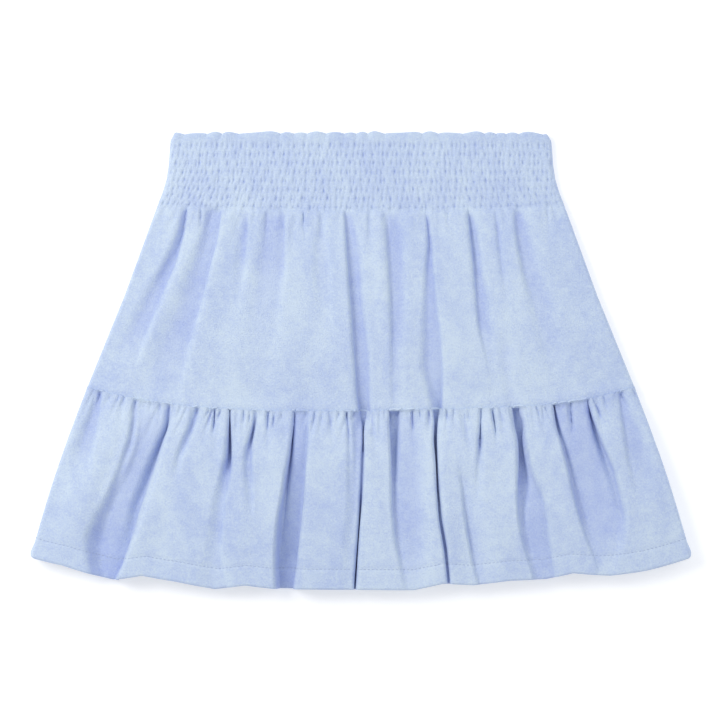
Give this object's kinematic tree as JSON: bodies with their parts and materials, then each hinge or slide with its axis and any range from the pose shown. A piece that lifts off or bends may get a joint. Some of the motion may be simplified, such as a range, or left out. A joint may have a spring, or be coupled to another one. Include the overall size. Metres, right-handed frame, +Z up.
{
  "type": "mini skirt",
  "caption": "Tiered mini skirt of terry cloth laid flat: shirred elastic waist with a frilled heading, gently gathered tier and a gathered ruffle with a turned-up hem.",
  "frame": {"origin": "on the floor, under the middle of the skirt as it lies", "axes": "+X across the skirt to the right of the picture, +Y towards the waist, +Z up out of the front"},
  "size_m": [0.5608, 0.3894, 0.0144],
  "materials": {
    "terry_cloth": "soft matte cotton terry pile"
  },
  "bodies": {
    "root": {"front_waist": "terry_cloth", "front_tier": "terry_cloth", "front_ruffle": "terry_cloth", "back_waist": "terry_cloth", "back_tier": "terry_cloth", "back_ruffle": "terry_cloth"}
  },
  "joints": []
}
